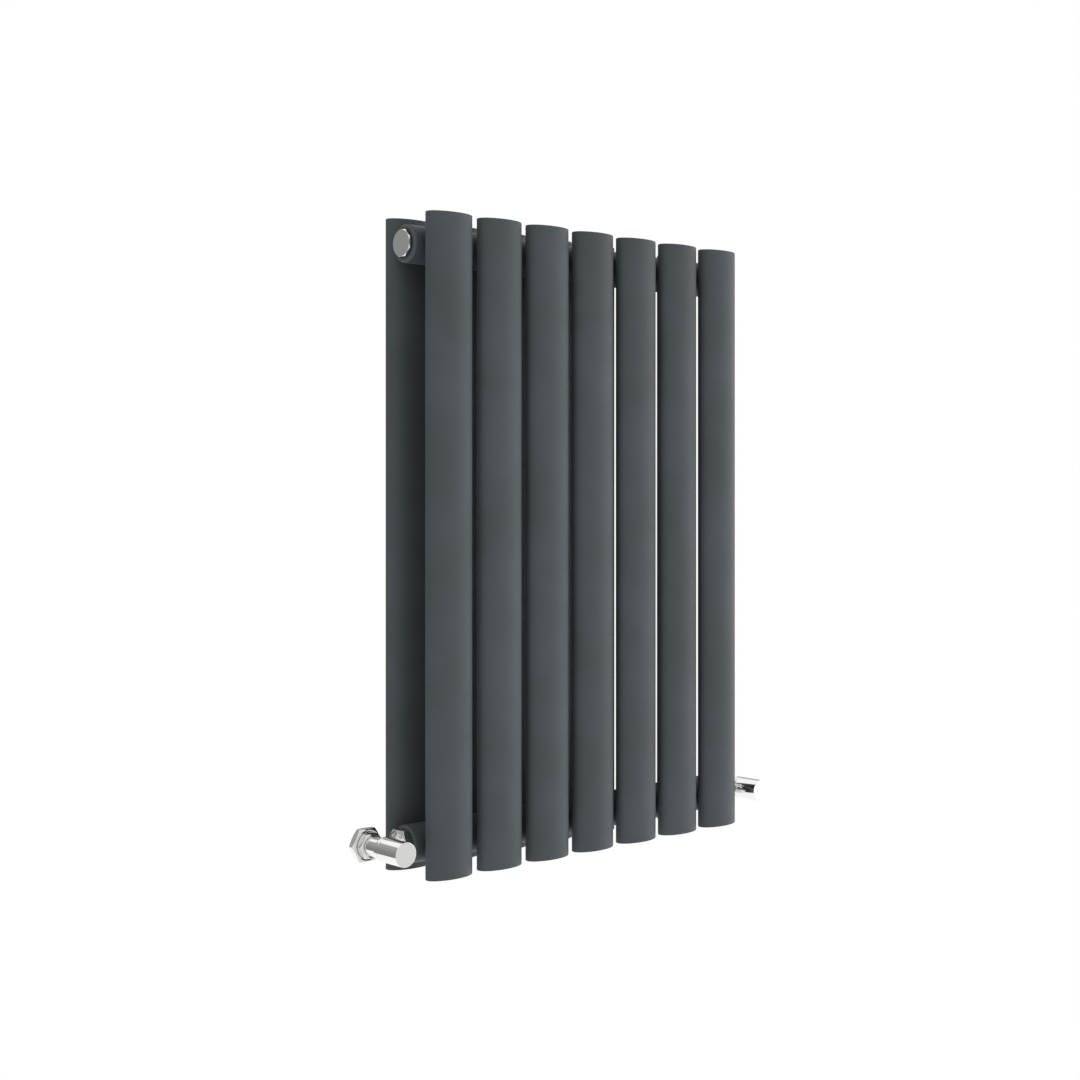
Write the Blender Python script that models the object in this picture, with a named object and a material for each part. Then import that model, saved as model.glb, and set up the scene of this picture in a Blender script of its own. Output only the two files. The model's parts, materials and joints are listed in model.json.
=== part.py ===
# Double-row oval-column radiator, 600 mm high, with a pair of angled valves.
#
# Frame: metres, +Z up. The wall is at +Y and the room at -Y. The origin is halfway between the
# two valve axes in X, halfway between the room face and the wall in Y, and level with the
# bottoms of the columns.

import math

import bmesh
import bpy
from mathutils import Matrix

# Column block
COLUMN_COUNT = 7
COLUMN_PITCH = 0.059
COLUMN_WIDTH = 0.050
COLUMN_DEPTH = 0.025
COLUMN_HEIGHT = 0.600
COLUMN_WALL = 0.0015
ROW_PITCH = 0.0604
PROJECTION = 0.115  # room face of the front row to the wall

# Manifolds and what screws into their ends
MANIFOLD_RADIUS = 0.0174
MANIFOLD_WALL = 0.0015
MANIFOLD_OVERHANG = 0.0262  # centre of the end column to the end of the tube
LOWER_TAPPING = 0.0285
TAPPING_CENTRES = 0.545
PORT_RADIUS = 0.006
BUSH_FACE = 0.028  # centre of the end column to the outer face of a bush
BUSH_BORE = 0.0102
BUSH_LENGTH = 0.014
PLUG_FLATS = 0.0246  # across the flats of the eight-sided head
PLUG_FACE = 0.0034  # outer face of a plug, beyond the bush face
PLUG_HEAD = 0.0024
PLUG_END = -0.011
SHANK_RADIUS = 0.0099
SEAL_RADIUS = 0.0129
VENT_WELL_RADIUS = 0.0052
VENT_WELL_FLOOR = -0.001
VENT_BORE = 0.0027
VENT_SEAT = 0.0012  # the small hole that the bleed screw closes
VENT_SEAT_FRONT = -0.0065
VENT_SEAT_BACK = -0.0085
KEY_SQUARE = 0.0046

# Valves. Each is modelled about the point where its two axes cross: the spindle runs along Y, from
# the cap at -Y to the inlet at +Y, and the outlet runs along +X to the radiator
LEFT_VALVE_OUT = 0.0533  # centre of the end column to the valve axis
RIGHT_VALVE_OUT = 0.0616
CAP_RADIUS = 0.0112
CAP_FRONT = -0.0372
CAP_BACK = -0.0087
CAP_BORE = 0.0099
CAP_WALL = 0.0022
CAP_EDGE = 0.0004
BODY_RADIUS = 0.0089
BODY_FRONT = -0.016
SHOULDER_FRONT = -0.0084
SHOULDER_BACK = -0.0042
BODY_BACK = 0.013
OUTLET_RADIUS = 0.0086
OUTLET_NECK = 0.0171
OUTLET_END = 0.0213
CHAMBER_RADIUS = 0.0062
SEAT = 0.0066
SEAT_DEPTH = 0.0016
SEAT_BORE = 0.0044
WATERWAY_RADIUS = 0.0055
THREAD_RADIUS = 0.012
BONNET_FLATS = 0.013
BONNET_HEAD = 0.0032
BONNET_BORE = 0.0069  # hole in the body that takes the bonnet
BONNET_END = -0.0065
PACKING_RADIUS = 0.0049
SPINDLE_RADIUS = 0.003
SPINDLE_FRONT = -0.0333
SPINDLE_SQUARE = 0.0042
SQUARE_BACK = -0.0226
SPINDLE_COLLAR = 0.0045
COLLAR_FRONT = -0.0125
COLLAR_BACK = -0.0095
SPINDLE_TIP = 0.0022
SPINDLE_END = -0.0012
O_RING_MIDDLE = 0.00395
O_RING_THICKNESS = 0.0006
O_RING_Y = -0.0145
HUB_RADIUS = 0.0044
HUB_BORE = 0.0025
HUB_FRONT = -0.0032
HUB_FLOOR = 0.0022
DISC_RADIUS = 0.0056
DISC_FRONT = 0.0026
DISC_BACK = 0.0043
STUB_RADIUS = 0.0016
STUB_END = 0.006
WASHER_RADIUS = 0.0054
ADAPTOR_FLATS = 0.022
ADAPTOR_FRONT = 0.0133
ADAPTOR_HEX_BACK = 0.0196
INLET_END = 0.0236
PIPE_SOCKET_RADIUS = 0.0078
SOCKET_END = 0.021
OLIVE_SEAT_RADIUS = 0.0097
INLET_FLATS = 0.0295
INLET_NUT_FRONT = 0.0198
INLET_NUT_BACK = 0.0272
INLET_NUT_SHOULDER = 0.0026
OLIVE_FRONT = 0.0214
OLIVE_BACK = 0.0242
OLIVE_END_RADIUS = 0.0089
OLIVE_RADIUS = 0.0094
UNION_FLATS = 0.028
UNION_OUTER = 0.0173
UNION_INNER = 0.0248
UNION_SHOULDER = 0.0016
UNION_HOLE = 0.0106
TAIL_FLANGE = 0.0013
TAIL_BORE = 0.0065
TAIL_END = 0.045

# Wall brackets
LINER_INNER = 0.0180
LINER_OUTER = 0.0194
CRADLE_INNER = 0.0200
CRADLE_OUTER = 0.0245
CRADLE_FROM = math.radians(-150)
CRADLE_TO = math.radians(10)
ARM_THICKNESS = 0.005
ARM_DEPTH = 0.018  # height of the arm where it meets the wall plate
PLATE_WIDTH = 0.048
PLATE_HEIGHT = 0.027
PLATE_THICKNESS = 0.003
SCREW_SPACING = 0.034
SCREW_HOLE_RADIUS = 0.00275
PLATE_LOWS = {"top": -0.0065, "bottom": -0.0265}  # low edge of the plate, from the manifold axis
ARM_FOOT_FROM = math.radians(-40)  # where the arm's lower edge leaves the cradle

PAST = 0.001  # how far a cutting shape runs past the face that it opens
GAP = 0.0003  # clearance between pieces that touch
ROUND = 20  # sides of a round piece
CAP_ROUND = 28
SMALL_ROUND = 12
PORT_ROUND = 8
OVAL = 24  # sides of an oval column

FRONT_ROW_Y = COLUMN_DEPTH / 2 - PROJECTION / 2
REAR_ROW_Y = FRONT_ROW_Y + ROW_PITCH
MANIFOLD_Y = FRONT_ROW_Y + ROW_PITCH / 2
WALL_Y = PROJECTION / 2
BLOCK_X = (LEFT_VALVE_OUT - RIGHT_VALVE_OUT) / 2  # centre of the column block
HALF_BLOCK = COLUMN_PITCH * (COLUMN_COUNT - 1) / 2  # centre to the middle of an end column
TAPPINGS = {"bottom": LOWER_TAPPING, "top": LOWER_TAPPING + TAPPING_CENTRES}

TURN_TO = {
    "X": Matrix.Rotation(math.pi / 2, 4, "Y"),
    "Y": Matrix.Rotation(-math.pi / 2, 4, "X"),
    "Z": Matrix.Identity(4),
}


def clear_scene():
    for obj in list(bpy.data.objects):
        bpy.data.objects.remove(obj, do_unlink=True)


def make_material(name, colour, roughness, metallic):
    material = bpy.data.materials.new(name)
    material.use_nodes = True
    shader = material.node_tree.nodes["Principled BSDF"]
    shader.inputs["Base Color"].default_value = (*colour, 1)
    shader.inputs["Roughness"].default_value = roughness
    shader.inputs["Metallic"].default_value = metallic
    return material


def mesh_from(bm, name):
    bmesh.ops.recalc_face_normals(bm, faces=bm.faces)
    if bm.calc_volume(signed=True) < 0:
        bmesh.ops.reverse_faces(bm, faces=bm.faces)
    mesh = bpy.data.meshes.new(name)
    bm.to_mesh(mesh)
    bm.free()
    return mesh


def turned(profile, axis, sides=ROUND):
    """A solid of revolution from (radius, distance along the axis) points, taken in order."""
    bm = bmesh.new()
    points = [bm.verts.new((radius, 0, along)) for radius, along in profile]
    edges = [
        bm.edges.new((points[i - 1], points[i]))
        for i in range(len(points))
        if profile[i - 1][0] > 0 or profile[i][0] > 0
    ]
    bmesh.ops.spin(
        bm,
        geom=points + edges,
        cent=(0, 0, 0),
        axis=(0, 0, 1),
        angle=math.tau,
        steps=sides,
        use_merge=True,
    )
    bmesh.ops.remove_doubles(bm, verts=bm.verts, dist=1e-7)
    bm.transform(TURN_TO[axis])
    return mesh_from(bm, "turned")


def rod(radius, start, end, axis, sides=ROUND):
    return turned([(0, start), (radius, start), (radius, end), (0, end)], axis, sides)


def prism(flats, start, end, axis, sides=6, turn=None):
    """A bar with flat sides. Without a turn, one along X or Y has a flat at its top and bottom."""
    bm = bmesh.new()
    corner = flats / 2 / math.cos(math.pi / sides)
    bmesh.ops.create_circle(bm, cap_ends=True, segments=sides, radius=corner)
    if turn is None:
        turn = math.pi / sides if axis == "Y" or sides == 4 else 0
    bm.transform(Matrix.Translation((0, 0, start)) @ Matrix.Rotation(turn, 4, "Z"))
    grown = bmesh.ops.extrude_face_region(bm, geom=bm.faces[:])["geom"]
    top = [item for item in grown if isinstance(item, bmesh.types.BMVert)]
    bmesh.ops.translate(bm, verts=top, vec=(0, 0, end - start))
    bm.transform(TURN_TO[axis])
    return mesh_from(bm, "prism")


def extruded(outline, thickness):
    """A plate from (y, z) points, centred on X = 0."""
    bm = bmesh.new()
    face = bm.faces.new([bm.verts.new((-thickness / 2, y, z)) for y, z in outline])
    grown = bmesh.ops.extrude_face_region(bm, geom=[face])["geom"]
    side = [item for item in grown if isinstance(item, bmesh.types.BMVert)]
    bmesh.ops.translate(bm, verts=side, vec=(thickness, 0, 0))
    return mesh_from(bm, "extruded")


def oval_bar(width, depth, start, end):
    bm = bmesh.new()
    bmesh.ops.create_circle(bm, cap_ends=True, segments=OVAL, radius=0.5)
    bmesh.ops.scale(bm, verts=bm.verts, vec=(width, depth, 1))
    bmesh.ops.translate(bm, verts=bm.verts, vec=(0, 0, start))
    grown = bmesh.ops.extrude_face_region(bm, geom=bm.faces[:])["geom"]
    top = [item for item in grown if isinstance(item, bmesh.types.BMVert)]
    bmesh.ops.translate(bm, verts=top, vec=(0, 0, end - start))
    return mesh_from(bm, "oval")


def moved(mesh, offset):
    mesh.transform(Matrix.Translation(offset))
    return mesh


def block(low, high):
    bm = bmesh.new()
    bmesh.ops.create_cube(bm, size=1)
    for vert in bm.verts:
        vert.co = [low[i] if vert.co[i] < 0 else high[i] for i in range(3)]
    return mesh_from(bm, "block")


def combined(base, added=(), removed=()):
    """One mesh: base, with the added meshes joined to it and the removed ones cut away."""
    bench = bpy.data.collections.new("bench")
    bpy.context.scene.collection.children.link(bench)
    work = bpy.data.objects.new("work", base)
    bench.objects.link(work)
    steps = [(mesh, "UNION") for mesh in added] + [(mesh, "DIFFERENCE") for mesh in removed]
    for mesh, operation in steps:
        tool = bpy.data.objects.new("tool", mesh)
        bench.objects.link(tool)
        modifier = work.modifiers.new(operation.lower(), "BOOLEAN")
        modifier.operation = operation
        modifier.object = tool
    graph = bpy.context.evaluated_depsgraph_get()
    result = bpy.data.meshes.new_from_object(work.evaluated_get(graph))
    for obj in list(bench.objects):
        bpy.data.objects.remove(obj, do_unlink=True)
    bpy.data.collections.remove(bench)
    return result


def place(name, mesh, material, parent=None, location=(0, 0, 0)):
    if not mesh.materials:
        mesh.materials.append(material)
    mesh.materials[0] = material
    mesh.shade_smooth()
    mesh.set_sharp_from_angle(angle=math.radians(35))
    obj = bpy.data.objects.new(name, mesh)
    obj.parent = parent
    obj.location = location
    bpy.context.scene.collection.objects.link(obj)
    return obj


def place_empty(name, location, turn=0):
    empty = bpy.data.objects.new(name, None)
    empty.location = location
    empty.rotation_euler = (0, turn, 0)
    bpy.context.scene.collection.objects.link(empty)
    return empty


# Column block


def column_mesh():
    outside = oval_bar(COLUMN_WIDTH, COLUMN_DEPTH, 0, COLUMN_HEIGHT)
    inside = oval_bar(
        COLUMN_WIDTH - 2 * COLUMN_WALL,
        COLUMN_DEPTH - 2 * COLUMN_WALL,
        COLUMN_WALL,
        COLUMN_HEIGHT - COLUMN_WALL,
    )
    ports = [
        moved(rod(PORT_RADIUS, 0, COLUMN_DEPTH, "Y", PORT_ROUND), (0, 0, height))
        for height in TAPPINGS.values()
    ]
    return combined(outside, removed=[inside, *ports])


def manifold_mesh():
    end = HALF_BLOCK + MANIFOLD_OVERHANG
    inner = MANIFOLD_RADIUS - MANIFOLD_WALL
    tube = turned(
        [(MANIFOLD_RADIUS, -end), (MANIFOLD_RADIUS, end), (inner, end), (inner, -end)], "X"
    )
    ports = [
        moved(
            rod(PORT_RADIUS, -ROW_PITCH / 2, ROW_PITCH / 2, "Y", PORT_ROUND),
            (i * COLUMN_PITCH - HALF_BLOCK, 0, 0),
        )
        for i in range(COLUMN_COUNT)
    ]
    return combined(tube, removed=ports)


def bush_mesh():
    """Faces +X, with its outer face at X = 0."""
    rim = MANIFOLD_RADIUS - 0.0001
    spigot = MANIFOLD_RADIUS - MANIFOLD_WALL - GAP
    seat = MANIFOLD_OVERHANG + GAP - BUSH_FACE
    return turned(
        [
            (BUSH_BORE, 0),
            (spigot, 0),
            (rim, seat + 0.0001),
            (rim, seat),
            (spigot, seat),
            (spigot, -BUSH_LENGTH),
            (BUSH_BORE, -BUSH_LENGTH),
        ],
        "X",
    )


def build_column_block(steel):
    column = column_mesh()
    for row, row_y, turn in (("front", FRONT_ROW_Y, 0), ("rear", REAR_ROW_Y, math.pi)):
        for i in range(COLUMN_COUNT):
            x = BLOCK_X + i * COLUMN_PITCH - HALF_BLOCK
            obj = place(f"{row}_column_{i + 1}", column, steel, location=(x, row_y, 0))
            obj.rotation_euler.z = turn
    manifold = manifold_mesh()
    bush = bush_mesh()
    for level, height in TAPPINGS.items():
        place(f"{level}_manifold", manifold, steel, location=(BLOCK_X, MANIFOLD_Y, height))
        for side, sign in (("left", -1), ("right", 1)):
            x = BLOCK_X + sign * (HALF_BLOCK + BUSH_FACE)
            obj = place(
                f"{level}_{side}_bush", bush, steel, location=(x, MANIFOLD_Y, height)
            )
            obj.rotation_euler.y = math.pi if sign < 0 else 0


# Plugs in the top manifold. Each faces +X, with the bush face at X = 0.


def plug_mesh(removed=()):
    """An eight-sided head, with a flat at its top, on a round shank."""
    under = PLUG_FACE - PLUG_HEAD
    head = prism(PLUG_FLATS, under, PLUG_FACE, "X", 8, turn=math.pi / 8)
    shank = rod(SHANK_RADIUS, PLUG_END, under + PLUG_HEAD / 2, "X")
    return combined(head, added=[shank], removed=removed)


def seal_mesh():
    inner = SHANK_RADIUS + GAP
    back = PLUG_FACE - PLUG_HEAD - GAP
    return turned([(inner, GAP), (SEAL_RADIUS, GAP), (SEAL_RADIUS, back), (inner, back)], "X")


def vent_hole_mesh():
    return turned(
        [
            (0, PLUG_END - PAST),
            (VENT_SEAT, PLUG_END - PAST),
            (VENT_SEAT, VENT_SEAT_BACK),
            (VENT_BORE, VENT_SEAT_FRONT),
            (VENT_BORE, VENT_WELL_FLOOR),
            (VENT_WELL_RADIUS, VENT_WELL_FLOOR),
            (VENT_WELL_RADIUS, PLUG_FACE + PAST),
            (0, PLUG_FACE + PAST),
        ],
        "X",
        SMALL_ROUND,
    )


def bleed_screw_mesh():
    """A cone that closes the vent, a collar in the well, and a square for the key."""
    tip, shank = VENT_SEAT - 0.0004, VENT_BORE - GAP
    collar, collar_face = 0.0038, 0.0006
    body = turned(
        [
            (0, VENT_SEAT_BACK + GAP),
            (tip, VENT_SEAT_BACK + GAP),
            (shank, VENT_SEAT_FRONT + GAP),
            (shank, VENT_WELL_FLOOR + GAP),
            (collar, VENT_WELL_FLOOR + GAP),
            (collar, collar_face),
            (0, collar_face),
        ],
        "X",
        SMALL_ROUND,
    )
    square = prism(KEY_SQUARE, collar_face / 2, PLUG_FACE, "X", 4)
    return combined(body, added=[square])


def build_plugs(chrome, rubber, brass):
    height = TAPPINGS["top"]
    reach = HALF_BLOCK + BUSH_FACE
    left = place_empty("top_left_end", (BLOCK_X - reach, MANIFOLD_Y, height), math.pi)
    right = place_empty("top_right_end", (BLOCK_X + reach, MANIFOLD_Y, height))
    place("blanking_plug", plug_mesh(), chrome, left)
    place("air_vent_plug", plug_mesh(removed=[vent_hole_mesh()]), chrome, right)
    seal = seal_mesh()
    place("blanking_plug_seal", seal, rubber, left)
    place("air_vent_seal", seal, rubber, right)
    place("bleed_screw", bleed_screw_mesh(), brass, right)


# Valve pieces. Distances are from the point where the two axes cross.


def valve_body_mesh():
    outside = turned(
        [
            (0, BODY_FRONT),
            (BODY_RADIUS, BODY_FRONT),
            (BODY_RADIUS, SHOULDER_FRONT),
            (CAP_RADIUS, SHOULDER_FRONT),
            (CAP_RADIUS, SHOULDER_BACK),
            (BODY_RADIUS, SHOULDER_BACK),
            (BODY_RADIUS, BODY_BACK),
            (0, BODY_BACK),
        ],
        "Y",
    )
    outlet = turned(
        [
            (0, 0),
            (OUTLET_RADIUS, 0),
            (OUTLET_RADIUS, OUTLET_NECK),
            (THREAD_RADIUS, OUTLET_NECK + 0.0005),
            (THREAD_RADIUS, OUTLET_END),
            (0, OUTLET_END),
        ],
        "X",
    )
    bore = turned(
        [
            (0, BODY_FRONT - PAST),
            (BONNET_BORE, BODY_FRONT - PAST),
            (BONNET_BORE, BONNET_END),
            (CHAMBER_RADIUS, BONNET_END),
            (CHAMBER_RADIUS, SEAT),
            (SEAT_BORE, SEAT),
            (SEAT_BORE, SEAT + SEAT_DEPTH),
            (WATERWAY_RADIUS, SEAT + SEAT_DEPTH),
            (WATERWAY_RADIUS, BODY_BACK + PAST),
            (0, BODY_BACK + PAST),
        ],
        "Y",
    )
    outlet_bore = rod(WATERWAY_RADIUS - 0.0002, 0, OUTLET_END + PAST, "X", SMALL_ROUND)
    return combined(outside, added=[outlet], removed=[bore, outlet_bore])


def inlet_adaptor_mesh():
    """Holds the pipe end: a spanner hexagon, then the thread that the compression nut turns on."""
    thread_front = ADAPTOR_HEX_BACK - PAST
    spanner_hex = prism(ADAPTOR_FLATS, ADAPTOR_FRONT, ADAPTOR_HEX_BACK, "Y")
    socket = turned(
        [
            (0, ADAPTOR_FRONT - PAST),
            (PIPE_SOCKET_RADIUS, ADAPTOR_FRONT - PAST),
            (PIPE_SOCKET_RADIUS, SOCKET_END),
            (OLIVE_SEAT_RADIUS, SOCKET_END),
            (OLIVE_SEAT_RADIUS, INLET_END + PAST),
            (0, INLET_END + PAST),
        ],
        "Y",
    )
    thread = rod(THREAD_RADIUS, thread_front, INLET_END, "Y")
    return combined(spanner_hex, added=[thread], removed=[socket])


def bonnet_mesh():
    spigot = BONNET_BORE - GAP
    head_front = BODY_FRONT - GAP - BONNET_HEAD
    outside = rod(spigot, BODY_FRONT - GAP - PAST, BONNET_END - GAP, "Y")
    head = prism(BONNET_FLATS, head_front, BODY_FRONT - GAP, "Y")
    bore = turned(
        [
            (0, head_front - PAST),
            (SPINDLE_RADIUS + GAP, head_front - PAST),
            (SPINDLE_RADIUS + GAP, BODY_FRONT - 0.0005),
            (PACKING_RADIUS, BODY_FRONT - 0.0005),
            (PACKING_RADIUS, BONNET_END + PAST),
            (0, BONNET_END + PAST),
        ],
        "Y",
        SMALL_ROUND,
    )
    return combined(outside, added=[head], removed=[bore])


def spindle_mesh():
    shaft = turned(
        [
            (0, SQUARE_BACK),
            (SPINDLE_RADIUS, SQUARE_BACK),
            (SPINDLE_RADIUS, COLLAR_FRONT),
            (SPINDLE_COLLAR, COLLAR_FRONT),
            (SPINDLE_COLLAR, COLLAR_BACK),
            (SPINDLE_TIP, COLLAR_BACK),
            (SPINDLE_TIP, SPINDLE_END),
            (0, SPINDLE_END),
        ],
        "Y",
        SMALL_ROUND,
    )
    square = prism(SPINDLE_SQUARE, SPINDLE_FRONT, SQUARE_BACK + PAST, "Y", 4)
    return combined(shaft, added=[square])


def o_ring_mesh():
    steps = 8
    ring = [
        (
            O_RING_MIDDLE + O_RING_THICKNESS * math.cos(math.tau * i / steps),
            O_RING_Y + O_RING_THICKNESS * math.sin(math.tau * i / steps),
        )
        for i in range(steps)
    ]
    return turned(ring, "Y", SMALL_ROUND)


def disc_mesh():
    """The piece that closes on the seat: a threaded hub, a disc and a stub for the washer."""
    return turned(
        [
            (0, HUB_FLOOR),
            (HUB_BORE, HUB_FLOOR),
            (HUB_BORE, HUB_FRONT),
            (HUB_RADIUS, HUB_FRONT),
            (HUB_RADIUS, DISC_FRONT),
            (DISC_RADIUS, DISC_FRONT),
            (DISC_RADIUS, DISC_BACK),
            (STUB_RADIUS, DISC_BACK),
            (STUB_RADIUS, STUB_END),
            (0, STUB_END),
        ],
        "Y",
        SMALL_ROUND,
    )


def disc_washer_mesh():
    inner = STUB_RADIUS + GAP
    front, back = DISC_BACK + GAP, SEAT - GAP
    return turned(
        [(inner, front), (WASHER_RADIUS, front), (WASHER_RADIUS, back), (inner, back)],
        "Y",
        SMALL_ROUND,
    )


def union_tail_mesh():
    flange_front = OUTLET_END + GAP
    flange_radius = THREAD_RADIUS - 0.0001
    flange_back = flange_front + TAIL_FLANGE
    return turned(
        [
            (TAIL_BORE, flange_front),
            (flange_radius, flange_front),
            (flange_radius, flange_back),
            (SHANK_RADIUS, flange_back),
            (SHANK_RADIUS, TAIL_END),
            (TAIL_BORE, TAIL_END),
        ],
        "X",
    )


def union_nut_mesh():
    shoulder = UNION_INNER - UNION_SHOULDER
    bore = turned(
        [
            (0, UNION_OUTER - PAST),
            (THREAD_RADIUS + GAP, UNION_OUTER - PAST),
            (THREAD_RADIUS + GAP, shoulder),
            (UNION_HOLE, shoulder),
            (UNION_HOLE, UNION_INNER + PAST),
            (0, UNION_INNER + PAST),
        ],
        "X",
    )
    return combined(prism(UNION_FLATS, UNION_OUTER, UNION_INNER, "X"), removed=[bore])


def compression_nut_mesh():
    shoulder = INLET_NUT_BACK - INLET_NUT_SHOULDER
    bore = turned(
        [
            (0, INLET_NUT_FRONT - PAST),
            (THREAD_RADIUS + GAP, INLET_NUT_FRONT - PAST),
            (THREAD_RADIUS + GAP, shoulder),
            (PIPE_SOCKET_RADIUS, shoulder),
            (PIPE_SOCKET_RADIUS, INLET_NUT_BACK + PAST),
            (0, INLET_NUT_BACK + PAST),
        ],
        "Y",
    )
    nut = prism(INLET_FLATS, INLET_NUT_FRONT, INLET_NUT_BACK, "Y")
    return combined(nut, removed=[bore])


def olive_mesh():
    slope = 0.0009
    return turned(
        [
            (PIPE_SOCKET_RADIUS, OLIVE_FRONT),
            (OLIVE_END_RADIUS, OLIVE_FRONT),
            (OLIVE_RADIUS, OLIVE_FRONT + slope),
            (OLIVE_RADIUS, OLIVE_BACK - slope),
            (OLIVE_END_RADIUS, OLIVE_BACK),
            (PIPE_SOCKET_RADIUS, OLIVE_BACK),
        ],
        "Y",
    )


def cap_shell_mesh():
    return turned(
        [
            (0, CAP_FRONT),
            (CAP_RADIUS - CAP_EDGE, CAP_FRONT),
            (CAP_RADIUS, CAP_FRONT + CAP_EDGE),
            (CAP_RADIUS, CAP_BACK),
            (CAP_BORE, CAP_BACK),
            (CAP_BORE, CAP_FRONT + CAP_WALL),
            (0, CAP_FRONT + CAP_WALL),
        ],
        "Y",
        CAP_ROUND,
    )


def handwheel_insert_mesh():
    """A plug inside the handwheel, with a square hole that drives the spindle."""
    core = rod(CAP_BORE - GAP, CAP_FRONT + CAP_WALL + GAP, SQUARE_BACK, "Y")
    socket = prism(SPINDLE_SQUARE + 2 * GAP, SPINDLE_FRONT - GAP, SQUARE_BACK + PAST, "Y", 4)
    return combined(core, removed=[socket])


def lockshield_insert_mesh():
    """A sleeve inside the lockshield cap, which grips the bonnet and leaves the spindle free."""
    front, back = CAP_FRONT + CAP_WALL + GAP, BODY_FRONT - 0.0005
    inner = BONNET_FLATS / math.sqrt(3) + 0.00015  # just clear of the hexagon's corners
    outer = CAP_BORE - GAP
    return turned([(inner, front), (outer, front), (outer, back), (inner, back)], "Y")


def build_valves(chrome, brass, rubber, plastic):
    y, z = MANIFOLD_Y, TAPPINGS["bottom"]
    left_x = BLOCK_X - HALF_BLOCK - LEFT_VALVE_OUT
    right_x = BLOCK_X + HALF_BLOCK + RIGHT_VALVE_OUT
    frames = {
        "left": place_empty("left_valve", (left_x, y, z)),
        "right": place_empty("right_valve", (right_x, y, z), math.pi),
    }
    pieces = {
        "valve_body": (valve_body_mesh(), chrome),
        "bonnet": (bonnet_mesh(), brass),
        "spindle": (spindle_mesh(), brass),
        "spindle_o_ring": (o_ring_mesh(), rubber),
        "valve_disc": (disc_mesh(), brass),
        "valve_washer": (disc_washer_mesh(), rubber),
        "union_tail": (union_tail_mesh(), chrome),
        "union_nut": (union_nut_mesh(), chrome),
        "inlet_adaptor": (inlet_adaptor_mesh(), chrome),
        "compression_nut": (compression_nut_mesh(), chrome),
        "olive": (olive_mesh(), brass),
    }
    for side, frame in frames.items():
        for name, (mesh, material) in pieces.items():
            place(f"{side}_{name}", mesh, material, frame)
    shell = cap_shell_mesh()
    place("handwheel_shell", shell, chrome, frames["left"])
    place("handwheel_insert", handwheel_insert_mesh(), plastic, frames["left"])
    place("lockshield_cap_shell", shell, chrome, frames["right"])
    place("lockshield_cap_insert", lockshield_insert_mesh(), plastic, frames["right"])


# Wall brackets, each modelled about the centre of the manifold that it carries


def arc_points(radius, start, end, count):
    return [
        (radius * math.cos(angle), radius * math.sin(angle))
        for angle in (start + (end - start) * i / count for i in range(count + 1))
    ]


def bracket_mesh(plate_low):
    wall = WALL_Y - MANIFOLD_Y
    plate_front = wall - PLATE_THICKNESS
    arm_low = plate_low + (PLATE_HEIGHT - ARM_DEPTH) / 2
    outline = [
        *arc_points(CRADLE_INNER, CRADLE_FROM, CRADLE_TO, 8),
        (plate_front + PAST, arm_low + ARM_DEPTH),
        (plate_front + PAST, arm_low),
        *arc_points(CRADLE_OUTER, ARM_FOOT_FROM, CRADLE_FROM, 6),
    ]
    plate = block(
        (-PLATE_WIDTH / 2, plate_front, plate_low),
        (PLATE_WIDTH / 2, wall, plate_low + PLATE_HEIGHT),
    )
    holes = [
        moved(
            rod(SCREW_HOLE_RADIUS, plate_front - PAST, wall + PAST, "Y", SMALL_ROUND),
            (sign * SCREW_SPACING / 2, 0, plate_low + PLATE_HEIGHT / 2),
        )
        for sign in (-1, 1)
    ]
    return combined(plate, added=[extruded(outline, ARM_THICKNESS)], removed=holes)


def liner_mesh():
    outline = [
        *arc_points(LINER_INNER, CRADLE_FROM, CRADLE_TO, 8),
        *arc_points(LINER_OUTER, CRADLE_TO, CRADLE_FROM, 8),
    ]
    return extruded(outline, ARM_THICKNESS)


def build_brackets(steel, plastic):
    liner = liner_mesh()
    for level, height in TAPPINGS.items():
        bracket = bracket_mesh(PLATE_LOWS[level])
        for side, sign in (("left", -1), ("right", 1)):
            x = BLOCK_X + sign * (HALF_BLOCK - COLUMN_PITCH / 2)
            spot = (x, MANIFOLD_Y, height)
            place(f"{level}_{side}_bracket", bracket, steel, location=spot)
            place(f"{level}_{side}_liner", liner, plastic, location=spot)


def main():
    clear_scene()
    anthracite = make_material("anthracite_powder_coat", (0.08, 0.09, 0.096), 0.55, 0.0)
    chrome = make_material("polished_chrome", (0.80, 0.80, 0.79), 0.08, 1.0)
    brass = make_material("brass", (0.72, 0.53, 0.27), 0.3, 1.0)
    rubber = make_material("black_rubber", (0.02, 0.02, 0.02), 0.7, 0.0)
    plastic = make_material("grey_plastic", (0.16, 0.16, 0.165), 0.5, 0.0)
    build_column_block(anthracite)
    build_plugs(chrome, rubber, brass)
    build_valves(chrome, brass, rubber, plastic)
    build_brackets(anthracite, plastic)


main()
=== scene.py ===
# Finish of a double-row oval-column radiator with its two angled valves.
# Sizes are in metres. The wall is at +Y, the room at -Y and the columns stand along Z.

import json
import math

import bmesh
import bpy
from mathutils import Matrix, Vector

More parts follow.
